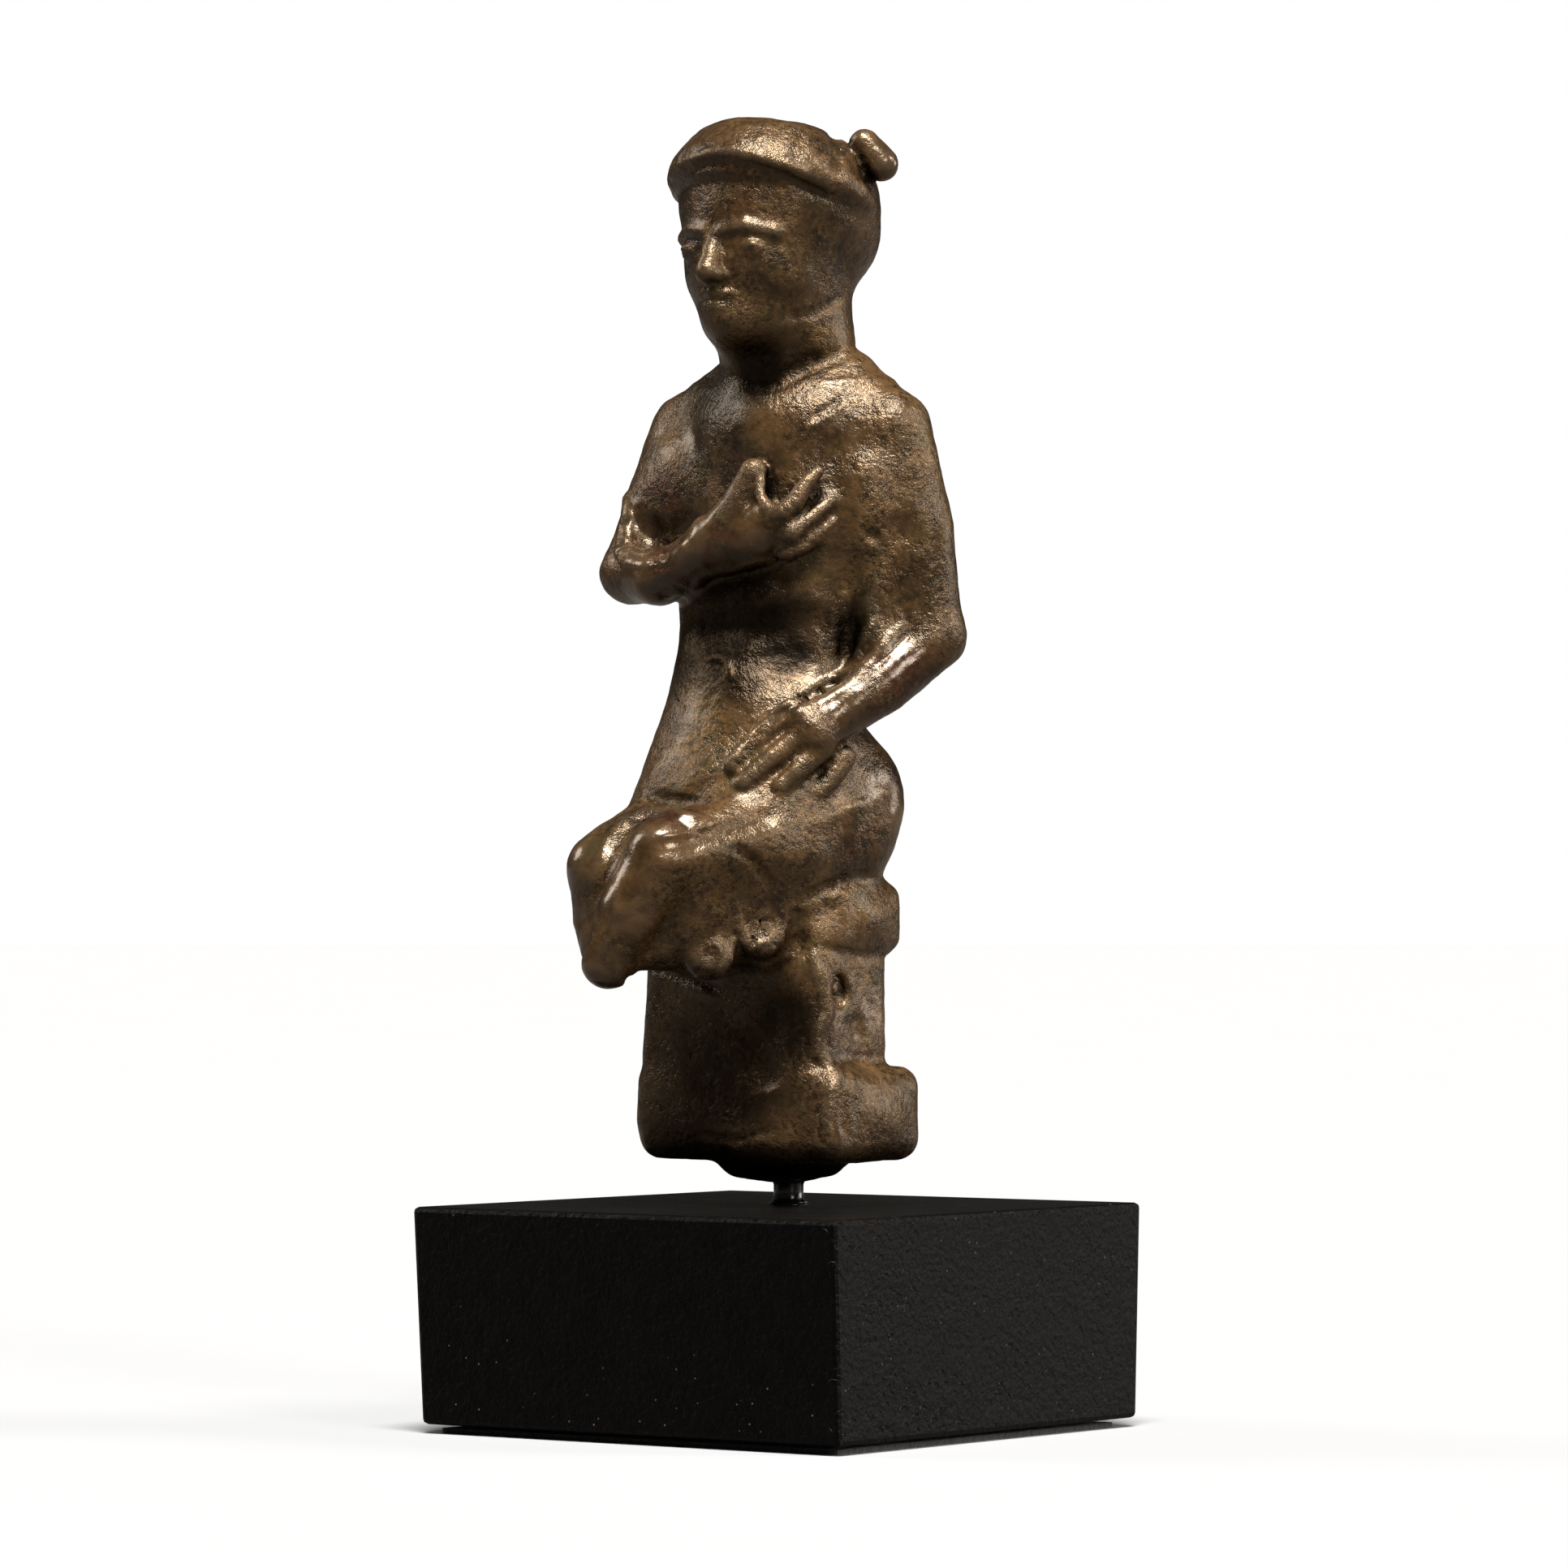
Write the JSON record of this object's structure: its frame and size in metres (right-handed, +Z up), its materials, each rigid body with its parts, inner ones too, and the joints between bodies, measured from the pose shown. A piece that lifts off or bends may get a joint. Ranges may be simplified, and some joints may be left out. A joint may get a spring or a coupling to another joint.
{
  "type": "seated female statuette",
  "caption": "Small cast bronze statuette of a seated woman, one hand at her breast and one in her lap, held by a pin above a plain black block, for display.",
  "frame": {"origin": "centre of the underside of the pad, on the surface that it stands on", "axes": "+Z up; the figure faces -Y; +X is towards the figure's own left hand"},
  "size_m": [0.04, 0.0402, 0.1005],
  "materials": {
    "bronze": "satin, dark brown patina",
    "blackened_steel": "glossy black",
    "black_paint": "black eggshell paint",
    "felt": "matt"
  },
  "bodies": {
    "root": {"bronze_figure": "bronze", "mount_pin": "blackened_steel", "base_block": "black_paint", "base_pad": "felt"}
  },
  "joints": []
}
